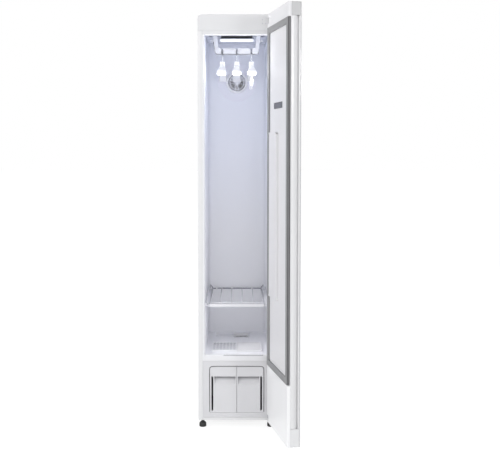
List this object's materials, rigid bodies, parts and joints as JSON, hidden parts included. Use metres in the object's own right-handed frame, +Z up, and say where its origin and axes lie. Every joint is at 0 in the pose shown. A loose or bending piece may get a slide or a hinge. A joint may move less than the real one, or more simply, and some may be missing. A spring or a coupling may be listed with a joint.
{
  "type": "clothes care steam cabinet",
  "caption": "Slim upright clothes care cabinet with a hinged door, swaying hanger rack, hangers, wire shelf, vent, lift-out filter, pull-out water tanks and base machinery.",
  "frame": {"origin": "on the floor, at the centre of the footprint's bounding box with the door open", "axes": "+Z up, the front faces -Y, +X to the right as seen from the front"},
  "size_m": [0.4334, 0.8794, 1.85],
  "materials": {
    "body_paint": "satin powder coat",
    "trim_white": "satin",
    "liner_plastic": "satin",
    "hanger_white": "semi-gloss",
    "wire_chrome": "polished",
    "door_gloss": "high gloss",
    "door_glass": "back-painted glass",
    "door_panel": "satin",
    "door_core": "satin",
    "gasket_rubber": "matte",
    "foot_rubber": "matte",
    "vent_grey": "satin",
    "dark_plastic": "matte",
    "tank_clear": "translucent gloss",
    "lamp_white": "opal",
    "duct_white": "matte",
    "machine_black": "semi-gloss",
    "machine_zinc": "plated",
    "coil_aluminium": "mill finish",
    "pipe_rubber": "matte",
    "board_green": "matte"
  },
  "bodies": {
    "cabinet": {"side_panel_left": "body_paint", "side_panel_right": "body_paint", "top_panel": "body_paint", "back_panel": "body_paint", "base_pan": "body_paint", "hinge_bracket_bottom": "body_paint", "hinge_bracket_top": "body_paint", "header_trim": "trim_white", "lower_fascia": "trim_white", "tank_bay": "trim_white", "cabinet_liner": "liner_plastic", "shelf_ledge_left": "liner_plastic", "shelf_ledge_right": "liner_plastic", "steam_outlet": "liner_plastic", "foot_front_left": "foot_rubber", "foot_front_right": "foot_rubber", "foot_rear_left": "foot_rubber", "foot_rear_right": "foot_rubber", "inlet_gland": "foot_rubber", "vent_grille": "vent_grey", "rack_housing": "dark_plastic", "fan_frame": "dark_plastic", "water_pump": "dark_plastic", "lamp_lens": "lamp_white", "return_duct": "duct_white", "heat_duct": "duct_white", "compressor": "machine_black", "rack_motor": "machine_zinc", "blower_motor": "machine_zinc", "steam_generator": "machine_zinc", "condenser": "coil_aluminium", "evaporator": "coil_aluminium", "steam_pipe": "pipe_rubber", "control_box": "board_green"},
    "door": {"door_shell": "door_core", "door_glass": "door_glass", "display_module": "board_green", "door_lower_cover": "door_gloss", "door_gasket": "gasket_rubber", "door_liner": "door_panel", "press_hinge": "door_panel"},
    "press_cover": {"press_cover": "door_panel"},
    "hanger_rack": {"hanger_rack": "hanger_white"},
    "hanger_1": {"hanger_1": "hanger_white", "hanger_hook_1": "wire_chrome"},
    "hanger_2": {"hanger_2": "hanger_white", "hanger_hook_2": "wire_chrome"},
    "hanger_3": {"hanger_3": "hanger_white", "hanger_hook_3": "wire_chrome"},
    "trouser_clip_front": {"trouser_clip_front": "hanger_white"},
    "trouser_clip_rear": {"trouser_clip_rear": "hanger_white"},
    "supply_tank": {"supply_tank_front": "trim_white", "supply_tank_reservoir": "tank_clear"},
    "drain_tank": {"drain_tank_front": "trim_white", "drain_tank_reservoir": "tank_clear"},
    "shelf": {"wire_shelf": "wire_chrome"},
    "lint_filter": {"lint_filter": "liner_plastic"},
    "aroma_case": {"aroma_case": "liner_plastic"},
    "circulation_fan": {"circulation_fan": "vent_grey"},
    "blower_wheel": {"blower_wheel": "dark_plastic"}
  },
  "joints": [
    {"name": "door_hinge", "type": "hinge", "parent": "cabinet", "child": "door", "pos_m": [0.11535, -0.11135, 0.9], "axis": [0, 0, 1], "range_deg": [-102, 12]},
    {"name": "press_cover_hinge", "type": "hinge", "parent": "door", "child": "press_cover", "pos_m": [0.10186, -0.15613, 0.971], "axis": [0, 0, -1], "range_deg": [0, 95]},
    {"name": "rack_slide", "type": "slide", "parent": "cabinet", "child": "hanger_rack", "axis": [1, 0, 0], "range_m": [-0.015, 0.015]},
    {"name": "hanger_1_swing", "type": "hinge", "parent": "hanger_rack", "child": "hanger_1", "pos_m": [-0.11115, 0.11665, 1.712], "axis": [1, 0, 0], "range_deg": [-5, 5]},
    {"name": "hanger_2_swing", "type": "hinge", "parent": "hanger_rack", "child": "hanger_2", "pos_m": [-0.04365, 0.11665, 1.712], "axis": [1, 0, 0], "range_deg": [-5, 5]},
    {"name": "hanger_3_swing", "type": "hinge", "parent": "hanger_rack", "child": "hanger_3", "pos_m": [0.02385, 0.11665, 1.712], "axis": [1, 0, 0], "range_deg": [-5, 5]},
    {"name": "trouser_clip_front_slide", "type": "slide", "parent": "hanger_3", "child": "trouser_clip_front", "axis": [0, -1, 0], "range_m": [-0.06, 0.015]},
    {"name": "trouser_clip_rear_slide", "type": "slide", "parent": "hanger_3", "child": "trouser_clip_rear", "axis": [0, 1, 0], "range_m": [-0.06, 0.015]},
    {"name": "supply_tank_slide", "type": "slide", "parent": "cabinet", "child": "supply_tank", "axis": [0, -1, 0], "range_m": [0, 0.24]},
    {"name": "drain_tank_slide", "type": "slide", "parent": "cabinet", "child": "drain_tank", "axis": [0, -1, 0], "range_m": [0, 0.24]},
    {"name": "shelf_slide", "type": "slide", "parent": "cabinet", "child": "shelf", "axis": [0, -1, 0], "range_m": [0, 0.28]},
    {"name": "lint_filter_lift", "type": "slide", "parent": "cabinet", "child": "lint_filter", "axis": [0, 0, 1], "range_m": [0, 0.08]},
    {"name": "aroma_case_lift", "type": "slide", "parent": "cabinet", "child": "aroma_case", "axis": [0, 0, 1], "range_m": [0, 0.08]},
    {"name": "circulation_fan_spin", "type": "hinge", "parent": "cabinet", "child": "circulation_fan", "pos_m": [-0.04365, 0.40595, 1.588], "axis": [0, 1, 0], "continuous": true},
    {"name": "blower_wheel_spin", "type": "hinge", "parent": "cabinet", "child": "blower_wheel", "pos_m": [-0.02365, 0.38165, 0.0848], "axis": [1, 0, 0], "continuous": true}
  ]
}
